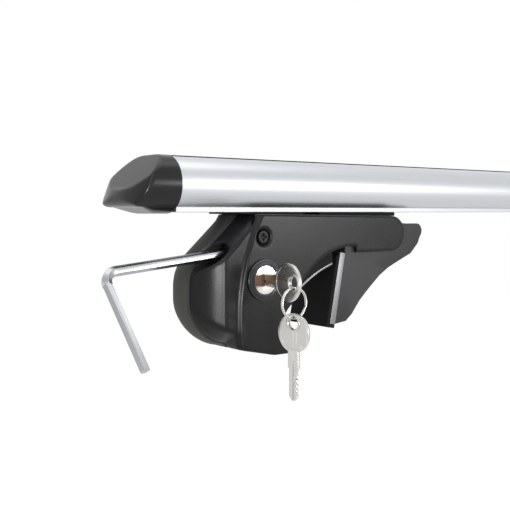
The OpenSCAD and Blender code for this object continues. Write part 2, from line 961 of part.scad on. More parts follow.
module lock_barrel() {
    front = -foot_half;
    color("dimgray") difference() {
        union() {
            cross_rod(0, -lock_drop, bezel_d, front - 1.2, front);
            cross_rod(0, -lock_drop, bezel_d - 3, front - 1.8, front);
            cross_rod(0, -lock_drop, barrel_d, front - 0.5, barrel_back);
        }
        cross_rod(0, -lock_drop, plug_face_d + 2 * turn_gap, front - 3, front + 1);
        cross_rod(0, -lock_drop, plug_d + 2 * turn_gap, front - 3, barrel_back + 1);
    }
}

module lock_nut() {
    color("silver") difference() {
        cross_rod(0, -lock_drop, 24, -cavity_half + 0.05, -cavity_half + 3);
        cross_rod(0, -lock_drop, barrel_d + 0.1, -cavity_half - 1, -cavity_half + 4);
    }
}

module lock_plug() {
    front = -foot_half;
    color("silver") difference() {
        union() {
            cross_rod(0, -lock_drop, plug_face_d, front - 1.4, front + 0.95);
            cross_rod(0, -lock_drop, plug_d, front, barrel_back + 0.3);
            translate([-3, barrel_back, -lock_drop - 3]) cube([6, cam_y + cam_t - barrel_back + 0.3, 6]);
        }
        translate([-keyway_w / 2, front - 2, -lock_drop - keyway_h / 2])
            cube([keyway_w, blade_len + 1.5, keyway_h]);
        cross_rod(0, -lock_drop, 3.4, -3, 10);
    }
}

// Cam whose finger swings up under the screw's hex collar to block it
module lock_cam() {
    finger_y = -screw_off - 4;
    color("silver") translate([0, 0, -lock_drop]) rotate([0, cam_rest, 0]) difference() {
        union() {
            cross_rod(0, 0, 12, cam_y, cam_y + cam_t);
            translate([0, cam_y, -4]) cube([cam_turn_r, cam_t, 8]);
            cross_rod(cam_turn_r, 0, cam_tip_d, cam_y, cam_y + cam_t);
            cross_rod(cam_turn_r, 0, cam_finger_d, finger_y, cam_y + 0.5);
        }
        rotate([0, -cam_rest, 0]) translate([-3.05, 0, -3.05]) cube([6.1, 10, 6.1]);
    }
}

module cam_screw() {
    color("silver") {
        cross_rod(0, -lock_drop, 8, cam_y + cam_t + 0.35, cam_y + cam_t + 2.6);
        cross_rod(0, -lock_drop, 3.3, -2, cam_y + cam_t + 1);
    }
}

// Keys: drawn in Y and Z with the blade's root at 0 and the bow towards -Y

module key_blank() {
    bow_y = -neck_len - bow_d / 2 + 1;
    difference() {
        union() {
            translate([-key_t / 2, 0, 0]) rotate([0, 90, 0]) {
                translate([0, bow_y, 0]) cylinder(d = bow_d, h = key_t);
                translate([-neck_w / 2, -neck_len - 1, 0]) cube([neck_w, neck_len + 1, key_t]);
                translate([-blade_w / 2, -0.5, 0]) cube([blade_w, blade_len - 1.5, key_t]);
                linear_extrude(height = key_t) polygon([
                    [-blade_w / 2, blade_len - 2.5],
                    [blade_w / 2, blade_len - 2.5],
                    [0.8, blade_len],
                    [-0.8, blade_len]
                ]);
            }
            translate([-key_t / 2 - ring_boss_t, bow_y - ring_hole_off(), 0]) rotate([0, 90, 0])
                cylinder(d = ring_boss_d, h = key_t + 2 * ring_boss_t);
        }
        translate([-5, bow_y - ring_hole_off(), 0]) rotate([0, 90, 0]) cylinder(d = ring_hole_d, h = 10);
        // Bitting along the lower edge
        for (i = [0:4]) translate([-5, 2.2 + 2.9 * i, -blade_w / 2]) rotate([0, 90, 0])
            cylinder(d = 1.3 + 0.5 * ((i * 3) % 4), h = 10, $fn = 16);
    }
}

module key_in_lock() {
    color("silver") in_foot_a() translate([0, -foot_half - 1.4, -lock_drop]) key_blank();
}

module key_ring() {
    color("silver") in_foot_a() translate([0, ring_y, ring_z]) rotate([90, 0, 0])
        rotate_extrude() translate([ring_d / 2, 0]) circle(d = ring_wire, $fn = 24);
}

module spare_key() {
    bow_y = -neck_len - bow_d / 2 + 1;
    color("silver") in_foot_a()
        translate([0, ring_y, ring_z - ring_d / 2]) rotate([0, 0, spare_turn]) rotate([-90, 0, 0])
            translate([0, -bow_y + bow_d / 4 + ring_hole_d / 2 - ring_wire / 2 - ring_play, 0]) key_blank();
}

// Hex key, with its long arm in the clamp screw's socket
module hexagon(af) {
    polygon([for (i = [0:5]) af / cos(30) / 2 * [cos(60 * i + 30), sin(60 * i + 30)]]);
}

module hex_key() {
    tip = head_at + socket_depth - 0.2;
    color("silver") in_foot_a() on_screw(tip - hex_long) rotate([0, 0, -hex_swing]) {
        translate([0, 0, hex_bend_r]) linear_extrude(height = hex_long - hex_bend_r) hexagon(hex_af);
        translate([hex_bend_r, 0, 0]) rotate([90, 0, 90])
            linear_extrude(height = hex_short - hex_bend_r) hexagon(hex_af);
        translate([hex_bend_r, 0, hex_bend_r]) rotate([90, 0, 0]) rotate([0, 0, 180])
            rotate_extrude(angle = 90) translate([hex_bend_r, 0]) hexagon(hex_af);
    }
}

// Places of the feet in the row frame

module in_foot_a() {
    translate([-foot_x, 0, bar_under]) children();
}

module in_foot(foot) {
    if (foot == "a") in_foot_a() children();
    if (foot == "b") translate([foot_x, 0, bar_under]) rotate([0, 0, 180]) children();
}

module foot_part(part) {
    if (part == "centre_body") centre_body();
    if (part == "front_shell") front_shell();
    if (part == "rear_shell") rear_shell();
    if (part == "saddle_pads") saddle_pads();
    if (part == "steel_bracket") steel_bracket();
    if (part == "tee_bolts") tee_bolts();
    if (part == "tee_nuts") tee_nuts();
    if (part == "guide_pin") guide_pin();
    if (part == "rail_saddle") rail_saddle();
    if (part == "saddle_liner") saddle_liner();
    if (part == "clamp_screw") clamp_screw();
    if (part == "thrust_washer") thrust_washer();
    if (part == "jaw") jaw();
    if (part == "jaw_nut") jaw_nut();
    if (part == "clamp_plate") clamp_plate();
    if (part == "jaw_pad") jaw_pad();
    if (part == "lock_barrel") lock_barrel();
    if (part == "lock_nut") lock_nut();
    if (part == "lock_plug") lock_plug();
    if (part == "lock_cam") lock_cam();
    if (part == "cam_screw") cam_screw();
    if (part == "shell_screws") shell_screws();
}

bar();
top_strip();
end_cap_a();
end_cap_b();
hex_key();
key_in_lock();
key_ring();
spare_key();
for (foot = ["a", "b"], part = FOOT_PARTS)
    in_foot(foot) foot_part(part);
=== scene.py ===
"""Roof rack crossbar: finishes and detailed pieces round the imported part, on a pale stage."""

import math

import bmesh
import bpy
from mathutils import Matrix, Vector, geometry


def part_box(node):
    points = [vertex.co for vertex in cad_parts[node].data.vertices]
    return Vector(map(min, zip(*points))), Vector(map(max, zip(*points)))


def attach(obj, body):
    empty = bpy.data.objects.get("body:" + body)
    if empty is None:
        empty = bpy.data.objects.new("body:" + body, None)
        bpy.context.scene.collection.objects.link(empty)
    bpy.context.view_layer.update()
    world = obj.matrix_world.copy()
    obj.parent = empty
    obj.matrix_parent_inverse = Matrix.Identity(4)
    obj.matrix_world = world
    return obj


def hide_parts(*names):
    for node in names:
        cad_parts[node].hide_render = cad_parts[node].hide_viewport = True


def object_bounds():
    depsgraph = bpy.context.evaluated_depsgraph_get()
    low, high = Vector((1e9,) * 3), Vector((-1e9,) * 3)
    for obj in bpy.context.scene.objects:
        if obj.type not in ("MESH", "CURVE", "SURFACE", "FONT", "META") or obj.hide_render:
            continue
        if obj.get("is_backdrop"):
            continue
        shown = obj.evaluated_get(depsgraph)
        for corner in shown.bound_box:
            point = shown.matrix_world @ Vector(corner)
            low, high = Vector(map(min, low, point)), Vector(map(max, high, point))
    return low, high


bl_info = {
    "name": "Roof rack crossbar",
    "version": (1, 0, 0),
    "blender": (4, 5, 0),
    "location": "View3D > Sidebar > Crossbar",
    "description": "Builds the crossbar's finishes, moulded pieces, keys and stage",
    "category": "Object",
}

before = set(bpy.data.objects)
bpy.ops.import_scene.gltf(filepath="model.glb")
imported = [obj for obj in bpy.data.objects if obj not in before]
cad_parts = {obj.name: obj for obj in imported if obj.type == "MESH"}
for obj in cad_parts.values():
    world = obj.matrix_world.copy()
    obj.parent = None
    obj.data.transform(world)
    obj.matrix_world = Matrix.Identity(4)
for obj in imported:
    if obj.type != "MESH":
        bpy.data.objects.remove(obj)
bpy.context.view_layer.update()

MM = 0.001
PER_METRE = 1000.0
FEET = ("a", "b")
HALF_TURN = Matrix.Rotation(math.pi, 4, "Z")

# Places taken from the frame
BAR_LOW, BAR_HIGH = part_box("bar")
BAR_UNDER = BAR_LOW.z
LOCK_LOW, LOCK_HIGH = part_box("lock_barrel_a")
LOCK_X = (LOCK_LOW.x + LOCK_HIGH.x) / 2
LOCK_Z = (LOCK_LOW.z + LOCK_HIGH.z) / 2

# Mesh making: angles in degrees, distances in metres
WELD = 1e-6
FLAT_WITHIN = 0.4
BEVEL_FROM = 28
HEX_BEVEL_FROM = 40
LARGEST_FILLET_SHARE = 0.49
WIRE_SIDES = 12

# Faces across a rounded edge
CHAMFER = 1
COARSE = 2
FINE = 3

# Angles in degrees below which two faces are shaded as one
SMOOTH_TO = 32
BAR_SMOOTH_TO = 40
MOULDED_SMOOTH_TO = 60
KEY_SMOOTH_TO = 30
HEX_SMOOTH_TO = 24

# Rounds of relaxing: all over, then more of them between two places towards -X
CAP_ROUNDS = 12
CAP_SOFT_ROUNDS = 40
CAP_SOFT_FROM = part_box("end_cap_a")[0].x + 22 * MM
CAP_SOFT_TO = CAP_SOFT_FROM - 12 * MM
SHELL_ROUNDS = 12
SHELL_SOFT_ROUNDS = 36
BODY_ROUNDS = 3
BODY_SOFT_ROUNDS = 30
FOOT_SOFT_FROM = LOCK_X - 12 * MM
FOOT_SOFT_TO = LOCK_X - 18 * MM

# Rounding of edges that has no property of its own
STRIP_ROUND = 0.25 * MM
PAD_ROUND = 0.3 * MM
LINER_ROUND = 0.2 * MM
JAW_PAD_ROUND = 0.4 * MM
SADDLE_ROUND = 0.4 * MM
HEX_ROUND = 0.35 * MM
BAR_END_ROUND = 0.1 * MM
PLUG_SHARE = 0.8
HEAD_SHARE = 0.6

# Keys: a tooth's corners are measured from its start, its least and further depth in millimetres
COLLAR = 1.2 * MM
BOW_OVERLAP = 1 * MM
TEETH = 5
FIRST_TOOTH = 0.9 * MM
TOOTH_PITCH = 2.9 * MM
TOOTH_FALL = 0.8 * MM
TOOTH_FLAT = 1.7 * MM
TOOTH_RISE = 2.4 * MM
TOOTH_LEFT = 0.1 * MM
TOOTH_LEAST = 0.65
TOOTH_MORE = 0.25
TIP_LOW = 2.0 * MM
TIP_HALF = 0.8 * MM
TIP_HIGH = 2.4 * MM
KEY_ROUND = 0.22 * MM
GROOVE_FROM = -4 * MM
GROOVE_OFF = 0.5 * MM
GROOVE_HALF = 0.55 * MM
GROOVE_ROUND = 0.05 * MM
GROOVE_FLOOR_SHARE = 0.5
OUTSIDE_SHARE = 1.6
BOW_RIM = 1.7 * MM
BOW_ROUND = 0.06 * MM
BOSS_OUT = 0.3 * MM
BOSS_RADIUS = 4.95 * MM
BOW_STEPS = 64
ROUND_STEPS = 59
ALL_ROUND = 354
SPARE_LEAN = 10

# Split ring: turns of wire, points, angle of its start, and the step between coils in wires
RING_TURNS = 2.0
RING_STEPS = 150
RING_START = -20
COIL_PITCH = 1.02

# Squared distances in millimetres where a stripe of colour starts and where it is full: painted
# shade along the nylon's seams, brass across the lock core
SEAM_SHADE_STRIPE = (48.0, 56.0)
BRASS_STRIPE = (7.0, 18.0)

# Stage: places and sizes in metres, angles in degrees, the sensor in millimetres
AIM = (LOCK_X + 0.02, 0.0, LOCK_Z)
LAMPS = {
    "key": ((-1.1, -1.0, 0.9), (0.9, 0.9)),
    "fill": ((0.42, -1.3, 0.06), (0.42, 0.3)),
    "front": ((-0.86, -1.4, -0.16), (0.34, 0.26)),
    "top": ((-0.4, 0.1, 1.1), (1.4, 0.7)),
}
CAMERA_PLACE = (-0.8324, -0.3956, -0.0316)
CAMERA_DIP = 2.995
CAMERA_TURN = -37
CAMERA_SENSOR = 36
CAMERA_NEAREST = 0.01
FLOOR_HALF = 6.0
FLOOR_WHITE = 1.04
FLOOR_SEEN_SHARE = 0.93


# Shader maths


class Socket:
    """One output of a shader tree. Arithmetic on it adds Math nodes beside it."""

    def __init__(self, look, out):
        self.look = look
        self.out = out

    def _math(self, operation, first, second):
        return self.look.node("ShaderNodeMath", {"operation": operation}, {0: first, 1: second})

    def __add__(self, other):
        return self._math("ADD", self, other)

    def __radd__(self, other):
        return self._math("ADD", other, self)

    def __sub__(self, other):
        return self._math("SUBTRACT", self, other)

    def __rsub__(self, other):
        return self._math("SUBTRACT", other, self)

    def __mul__(self, other):
        return self._math("MULTIPLY", self, other)

    def __rmul__(self, other):
        return self._math("MULTIPLY", other, self)

    def __pow__(self, other):
        return self._math("POWER", self, other)

    def __rpow__(self, other):
        return self._math("POWER", other, self)

    def over(self, low, high):
        """0 below low, 1 above high, and smooth between them."""
        return self.look.node(
            "ShaderNodeMapRange",
            {"interpolation_type": "SMOOTHSTEP"},
            {0: self, 1: low, 2: high, 3: 0.0, 4: 1.0},
        )


def find_socket(sockets, key):
    """A socket by its number, its identifier or its name."""
    if isinstance(key, int):
        return sockets[key]
    for socket in sockets:
        if socket.identifier == key:
            return socket
    return sockets[key]


class Look:
    """A material or world tree that is being written."""

    def __init__(self, owner):
        self.owner = owner
        owner.use_nodes = True
        self.tree = owner.node_tree
        self.tree.nodes.clear()

    def node(self, kind, settings=None, inputs=None, out=0):
        made = self.tree.nodes.new(kind)
        for name, value in (settings or {}).items():
            setattr(made, name, value)
        for key, value in (inputs or {}).items():
            socket = find_socket(made.inputs, key)
            if isinstance(value, Socket):
                self.tree.links.new(value.out, socket)
            elif socket.type == "RGBA":
                socket.default_value = (*value[:3], 1.0)
            else:
                socket.default_value = value
        return Socket(self, find_socket(made.outputs, out)) if made.outputs else made

    def place(self, scale=(1, 1, 1)):
        """The piece's own coordinates in metres, stretched by scale."""
        where = self.node("ShaderNodeTexCoord", out="Object")
        return self.node("ShaderNodeVectorMath", {"operation": "MULTIPLY"}, {0: where, 1: scale})

    def along(self, axis):
        """One of the piece's own coordinates, in metres."""
        where = self.node("ShaderNodeTexCoord", out="Object")
        return self.node("ShaderNodeSeparateXYZ", {}, {0: where}, axis)

    def noise(self, scale, detail=3.0, stretch=(1, 1, 1), rough=0.5):
        return self.node(
            "ShaderNodeTexNoise",
            {"noise_dimensions": "3D"},
            {"Vector": self.place(stretch), "Scale": scale, "Detail": detail, "Roughness": rough},
        )

    def mix(self, first, second, amount):
        return self.node(
            "ShaderNodeMix",
            {"data_type": "RGBA"},
            {"Factor_Float": amount, "A_Color": first, "B_Color": second},
            "Result_Color",
        )

    def bump(self, height, strength, distance):
        return self.node(
            "ShaderNodeBump", {}, {"Height": height, "Strength": strength, "Distance": distance}
        )

    def edge_wear(self, low, high):
        """1 on outer edges and 0 on flats, from the mesh's own curvature."""
        return self.node("ShaderNodeNewGeometry", out="Pointiness").over(low, high)

    def surface(self, **inputs):
        """Ends the material in one Principled shader."""
        shader = self.node(
            "ShaderNodeBsdfPrincipled", {}, {k.replace("_", " "): v for k, v in inputs.items()}
        )
        self.node("ShaderNodeOutputMaterial", {}, {"Surface": shader})
        return self.owner


def new_look(name):
    return Look(bpy.data.materials.new(name))


def tone(colour, factor):
    return tuple(channel * factor for channel in colour)


def anodised_aluminium(name, colour):
    """Satin aluminium with the die's lines along X."""
    look = new_look(name)
    die_lines = look.noise(1.0, 4.0, (3.0, 2600.0, 2600.0), 0.62)
    broad = look.noise(1.0, 2.0, (5.0, 60.0, 60.0))
    specks = look.noise(2600.0, 2.0)
    shade = die_lines.over(0.35, 0.7)
    base = look.mix(tone(colour, 0.93), tone(colour, 1.03), shade * 0.6 + broad * 0.4)
    return look.surface(
        Base_Color=base,
        Metallic=1.0,
        Roughness=0.3 + 0.1 * die_lines + 0.05 * broad,
        Normal=look.bump(die_lines * 0.7 + specks * 0.3, 0.18, 0.0001),
    )


def moulded_plastic(name, colour, rough, grain, gloss):
    """Moulded plastic with a fine grain of that scale and flow marks."""
    look = new_look(name)
    fine = look.noise(grain, 3.0)
    flow = look.noise(26.0, 2.0)
    worn = look.edge_wear(0.52, 0.6)
    base = look.mix(colour, tone(colour, 1.4), flow * 0.7)
    base = look.mix(base, tone(colour, 2.2), worn * 0.35)
    return look.surface(
        Base_Color=base,
        Roughness=rough + 0.1 * (flow - 0.5) + 0.08 * (fine - 0.5),
        Specular_IOR_Level=gloss,
        Normal=look.bump(fine, 0.22, 0.00012),
    )


def filled_nylon(name, colour):
    """Fibre-filled nylon, with painted shade along the seams at its two sides."""
    look = new_look(name)
    fibres = look.noise(900.0, 4.0, (1.0, 1.0, 2.4))
    cloud = look.noise(60.0, 3.0)
    base = look.mix(tone(colour, 0.8), tone(colour, 1.35), fibres * 0.4 + cloud * 0.6)
    aside_squared = (look.along("Y") * PER_METRE) ** 2
    # Painted shade: the colour goes near black in a thin stripe at each side, along the seams with
    # the shells
    base = look.mix(base, tone(colour, 0.06), aside_squared.over(*SEAM_SHADE_STRIPE))
    return look.surface(
        Base_Color=base,
        Roughness=0.56 + 0.14 * cloud,
        Normal=look.bump(fibres, 0.3, 0.00015),
    )


def powder_coat(name, colour):
    """Powder coat with orange peel, dust and worn edges."""
    look = new_look(name)
    peel = look.noise(1100.0, 2.0)
    dust = look.noise(90.0, 3.0)
    worn = look.edge_wear(0.53, 0.6)
    base = look.mix(tone(colour, 0.85), tone(colour, 1.15), dust)
    base = look.mix(base, tone(colour, 2.6), worn * 0.4)
    return look.surface(
        Base_Color=base,
        Roughness=0.4 + 0.12 * dust,
        Specular_IOR_Level=0.25,
        Coat_Weight=0.06,
        Coat_Roughness=0.35,
        Normal=look.bump(peel, 0.3, 0.00018),
    )


def soft_rubber(name, colour):
    """Dusty matt rubber."""
    look = new_look(name)
    dust = look.noise(220.0, 4.0)
    ribs = look.noise(700.0, 2.0)
    base = look.mix(tone(colour, 0.7), tone(colour, 1.5), dust)
    return look.surface(
        Base_Color=base,
        Roughness=0.68 + 0.16 * dust,
        Specular_IOR_Level=0.12,
        Normal=look.bump(ribs, 0.3, 0.0002),
    )


def plated_steel(name, colour, rough, stretch, wear_to):
    """Plated steel with scratches stretched along its working, spots and worn edges."""
    look = new_look(name)
    scratches = look.noise(1.0, 5.0, stretch, 0.65)
    cloud = look.noise(75.0, 3.0)
    spots = look.noise(800.0, 2.0).over(0.62, 0.74)
    worn = look.edge_wear(0.53, 0.62)
    base = look.mix(tone(colour, 0.86), tone(colour, 1.04), scratches * 0.5 + cloud * 0.5)
    base = look.mix(base, tone(colour, 0.7), spots * 0.25)
    base = look.mix(base, wear_to, worn * 0.4)
    return look.surface(
        Base_Color=base,
        Metallic=1.0,
        Roughness=rough + 0.16 * (scratches - 0.5) + 0.1 * (cloud - 0.5) + 0.1 * spots,
        Normal=look.bump(scratches, 0.16, 0.0001),
    )


def lock_core(name, colour, brass):
    """Nickel that is worn to brass in a band through the lock's axis."""
    look = new_look(name)
    turned = look.noise(1.0, 4.0, (500.0, 100.0, 500.0), 0.6)
    height_squared = ((look.along("Z") - LOCK_Z) * PER_METRE) ** 2
    nickel = (height_squared + 8.0 * (turned - 0.5)).over(*BRASS_STRIPE)
    base = look.mix(tone(colour, 0.86), tone(colour, 1.04), turned)
    return look.surface(
        Base_Color=look.mix(brass, base, nickel),
        Metallic=1.0,
        Roughness=0.34 - 0.14 * nickel + 0.1 * (turned - 0.5),
        Normal=look.bump(turned, 0.16, 0.0001),
    )


def black_chromate(name, colour):
    """Turned metal under black chromate that is worn bright on its edges."""
    look = new_look(name)
    turned = look.noise(1.0, 3.0, (900.0, 200.0, 900.0), 0.6)
    worn = look.edge_wear(0.52, 0.6)
    base = look.mix(tone(colour, 0.8), tone(colour, 1.5), turned)
    base = look.mix(base, (0.3, 0.3, 0.31), worn * 0.55)
    return look.surface(
        Base_Color=base,
        Metallic=0.7,
        Roughness=0.3 + 0.16 * turned,
        Normal=look.bump(turned, 0.15, 0.0001),
    )


# Mesh building


def link(name, mesh):
    piece = bpy.data.objects.new(name, mesh)
    bpy.context.scene.collection.objects.link(piece)
    return piece


def dress(piece, body, slot, node, smooth_to=SMOOTH_TO, finish=None):
    """Rides piece on its body, gives it its finish and lets it stand for its CAD node."""
    piece.data.materials.clear()
    piece.data.materials.append(looks()[finish or slot])
    piece.data.shade_smooth()
    piece.data.set_sharp_from_angle(angle=math.radians(smooth_to))
    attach(piece, body)
    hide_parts(node)


def finish_node(node, slot):
    """A CAD node whose shape is right keeps it and gets its finish."""
    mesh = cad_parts[node].data
    mesh.materials.clear()
    mesh.materials.append(looks()[slot])


def to_mesh(bm, name):
    bmesh.ops.recalc_face_normals(bm, faces=bm.faces)
    mesh = bpy.data.meshes.new(name)
    bm.to_mesh(mesh)
    bm.free()
    return mesh


def welded(node):
    """A CAD node's mesh with its doubled corners joined."""
    bm = bmesh.new()
    bm.from_mesh(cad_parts[node].data)
    bmesh.ops.remove_doubles(bm, verts=bm.verts, dist=WELD)
    return bm


def bevelled(node, width, segments=COARSE, angle=BEVEL_FROM):
    """A copy of a CAD node, its flat faces in one piece and its sharp edges rounded."""
    bm = welded(node)
    flat = math.radians(FLAT_WITHIN)
    bmesh.ops.dissolve_limit(bm, angle_limit=flat, verts=bm.verts, edges=bm.edges)
    limit = math.radians(angle)
    edges = [e for e in bm.edges if e.is_manifold and e.calc_face_angle() > limit]
    bmesh.ops.bevel(
        bm,
        geom=edges,
        offset=width,
        offset_type="OFFSET",
        segments=segments,
        profile=0.6,
        affect="EDGES",
        clamp_overlap=True,
        harden_normals=False,
    )
    return to_mesh(bm, node)


def evaluated(piece, *others):
    """The mesh that a piece's modifiers make. The piece and the others are removed."""
    view = bpy.context.evaluated_depsgraph_get()
    mesh = bpy.data.meshes.new_from_object(piece.evaluated_get(view))
    for made in (piece, *others):
        bpy.data.objects.remove(made)
    return mesh


def relax(piece, rounds, group=""):
    """Adds rounds of relaxing, of the whole piece or of one vertex group."""
    smooth = piece.modifiers.new("relax", "SMOOTH")
    smooth.vertex_group = group
    smooth.factor = 0.5
    smooth.iterations = rounds


def moulded(node, voxel, rounds):
    """A copy of a CAD node remeshed and relaxed, so that its edges are soft like a moulding's."""
    piece = link("relaxing", to_mesh(welded(node), node))
    remesh = piece.modifiers.new("cells", "REMESH")
    remesh.mode = "VOXEL"
    remesh.voxel_size = voxel
    relax(piece, rounds)
    return evaluated(piece)


def softened(mesh, start, full, rounds):
    """The same mesh relaxed further towards -X: not at all at start, wholly from full on."""
    piece = link("softening", mesh)
    group = piece.vertex_groups.new(name="outboard")
    for vertex in mesh.vertices:
        weight = (start - vertex.co.x) / (start - full)
        if weight > 0:
            group.add([vertex.index], min(1.0, weight), "REPLACE")
    relax(piece, rounds, group.name)
    return evaluated(piece)


def turned_copy(mesh):
    """The same mesh for the other foot, half a turn about the row frame's Z."""
    copy = mesh.copy()
    copy.transform(HALF_TURN)
    return copy


def arc(centre, radius, start, end, steps):
    """Points from start to end degrees, both included."""
    turns = [math.radians(start + (end - start) * i / steps) for i in range(steps + 1)]
    return [(centre[0] + radius * math.cos(t), centre[1] + radius * math.sin(t)) for t in turns]


def filleted(points, radii, steps=FINE):
    """The outline with each corner rounded to its own radius."""
    out = []
    count = len(points)
    for i, radius in enumerate(radii):
        here = Vector(points[i])
        back = Vector(points[i - 1]) - here
        ahead = Vector(points[(i + 1) % count]) - here
        if radius <= 0:
            out.append(tuple(here))
            continue
        angle = back.angle(ahead)
        longest = LARGEST_FILLET_SHARE * min(back.length, ahead.length)
        reach = min(radius / math.tan(angle / 2), longest)
        start = here + back.normalized() * reach
        end = here + ahead.normalized() * reach
        for k in range(steps + 1):
            t = k / steps
            out.append(tuple(start * (1 - t) ** 2 + here * 2 * t * (1 - t) + end * t**2))
    return out


def inset(loop, amount):
    """The outline moved into the material; outlines run anticlockwise and holes clockwise."""
    out = []
    count = len(loop)
    for i in range(count):
        here = Vector(loop[i])
        before = (here - Vector(loop[i - 1])).normalized()
        after = (Vector(loop[(i + 1) % count]) - here).normalized()
        along = (before + after).normalized()
        normal = Vector((along.y, -along.x))
        lean = max(0.5, normal.dot(Vector((after.y, -after.x))))
        out.append(here - normal * (amount / lean))
    return out


def across_x(y, z, x):
    """The place of a section's point, given in Y and Z, at x along X."""
    return Vector((x, y, z))


def rounded_plate(loops, low, high, edge, steps=FINE):
    """A plate from low to high in X with rounded rims, from its outline and then its holes."""
    turns = [math.pi / 2 * i / steps for i in range(steps + 1)]
    profile = [(edge * (1 - math.sin(t)), low + edge * (1 - math.cos(t))) for t in turns]
    profile += [(edge * (1 - math.cos(t)), high - edge * (1 - math.sin(t))) for t in turns]
    bm = bmesh.new()
    rims = []
    for loop in loops:
        rings = [
            [bm.verts.new(across_x(p[0], p[1], level)) for p in inset(loop, depth)]
            for depth, level in profile
        ]
        for below, above in zip(rings, rings[1:]):
            for i in range(len(loop)):
                bm.faces.new((below[i - 1], below[i], above[i], above[i - 1]))
        rims.append((rings[0], rings[-1]))
    for end, level in ((0, low), (1, high)):
        flat = [v for rim in rims for v in rim[end]]
        outline = [[Vector((p[0], p[1], 0)) for p in inset(loop, edge)] for loop in loops]
        for a, b, c in geometry.tessellate_polygon(outline):
            if len({a, b, c}) == 3:
                bm.faces.new((flat[a], flat[b], flat[c]))
    return bm


def tube(points, radius, sides=WIRE_SIDES):
    """A round wire along points, with its ends shut."""
    bm = bmesh.new()
    rings = []
    up = Vector((0, 1, 0))
    for i, point in enumerate(points):
        ahead = points[min(i + 1, len(points) - 1)]
        behind = points[max(i - 1, 0)]
        along = (ahead - behind).normalized()
        side = along.cross(up).normalized()
        over = side.cross(along).normalized()
        rings.append(
            [
                bm.verts.new(
                    point
                    + side * radius * math.cos(math.tau * k / sides)
                    + over * radius * math.sin(math.tau * k / sides)
                )
                for k in range(sides)
            ]
        )
    for first, second in zip(rings, rings[1:]):
        for k in range(sides):
            bm.faces.new((first[k - 1], first[k], second[k], second[k - 1]))
    bm.faces.new(rings[0])
    bm.faces.new(rings[-1])
    return bm


def join(meshes, name):
    """Several meshes in one, kept as separate shells."""
    bm = bmesh.new()
    for mesh in meshes:
        bm.from_mesh(mesh)
        bpy.data.meshes.remove(mesh)
    joined = bpy.data.meshes.new(name)
    bm.to_mesh(joined)
    bm.free()
    return joined


def carve(mesh, cutters):
    """mesh with the cutters' shapes taken out of it."""
    piece = link("carving", mesh)
    tools = []
    for i, cutter in enumerate(cutters):
        tools.append(link(f"cutter_{i}", cutter))
        cut = piece.modifiers.new("cut", "BOOLEAN")
        cut.operation = "DIFFERENCE"
        cut.solver = "EXACT"
        cut.object = tools[-1]
    return evaluated(piece, *tools)


# Properties


def colour_property(name, description, default):
    return bpy.props.FloatVectorProperty(
        name=name, description=description, default=default, subtype="COLOR", size=3, min=0, max=1
    )


def length_property(name, description, default):
    return bpy.props.FloatProperty(
        name=name, description=description, default=default, unit="LENGTH", min=0, precision=5
    )


def power_property(name, description, default):
    return bpy.props.FloatProperty(
        name=name, description=description, default=default, unit="POWER"
    )


class CrossbarFinishes(bpy.types.PropertyGroup):
    """Colours of the crossbar's finishes"""

    bar: colour_property("Bar", "Anodised aluminium of the bar", (0.6, 0.615, 0.64))
    rubber: colour_property("Rubber", "Strip, saddle pads and clamp pads", (0.007, 0.007, 0.007))
    cap: colour_property("End caps", "Satin plastic of the end caps", (0.006, 0.006, 0.0065))
    shell: colour_property("Shells", "Satin plastic of the feet", (0.006, 0.0062, 0.0068))
    body: colour_property(
        "Centre body", "Glass-filled nylon between the shells", (0.03, 0.03, 0.026)
    )
    jaw: colour_property("Jaw", "Powder coat of the clamp jaws", (0.02, 0.02, 0.021))
    zinc: colour_property("Zinc", "Zinc plate of the screws and brackets", (0.4, 0.4, 0.39))
    plate: colour_property("Plate", "Cut steel of the clamp plates", (0.2, 0.2, 0.205))
    tool: colour_property("Hex key", "Nickel plate of the hex key", (0.4, 0.41, 0.43))
    lock: colour_property("Bezel", "Black chromate of the lock's bezel", (0.02, 0.02, 0.022))
    core: colour_property("Lock core", "Nickel of the lock's turning face", (0.74, 0.7, 0.65))
    brass: colour_property(
        "Core brass", "Bare brass across the middle of that face", (0.13, 0.08, 0.055)
    )
    # Near black as painted shade for the deep recesses that the shells' screws sit in
    recessed: colour_property(
        "Recessed screws", "Black oxide of the shells' screws", (0.02, 0.02, 0.02)
    )
    key: colour_property("Keys", "Nickel of the keys and their ring", (0.62, 0.61, 0.59))


class CrossbarEdges(bpy.types.PropertyGroup):
    """How soft the edges of the pieces are"""

    shell_cell: length_property("Shell cell", "Cell of the relaxed shells", 0.6 * MM)
    cap_cell: length_property("Cap cell", "Cell of the relaxed end caps", 0.45 * MM)
    jaw_round: length_property("Jaw rounding", "Rounding of the jaw's edges", 0.7 * MM)
    metal_round: length_property("Metal rounding", "Rounding of turned and cut metal", 0.25 * MM)
    bar_round: length_property("Bar rounding", "Rounding of the bar's lips", 0.4 * MM)


class CrossbarKeys(bpy.types.PropertyGroup):
    """Sizes of the keys and their ring"""

    bow: length_property("Bow", "Diameter of a key's round bow", 22 * MM)
    thick: length_property("Thickness", "Thickness of a key's blank", 2 * MM)
    neck_width: length_property("Neck width", "Width of a key's neck", 7.5 * MM)
    neck_length: length_property("Neck length", "From the bow to the blade", 10 * MM)
    blade_width: length_property("Blade width", "Width of a key's blade", 5.7 * MM)
    blade_length: length_property("Blade length", "Length of a key's blade", 18 * MM)
    hole: length_property("Hole", "Diameter of the hole for the ring", 7.2 * MM)
    wire: length_property("Wire", "Diameter of the split ring's wire", 0.95 * MM)


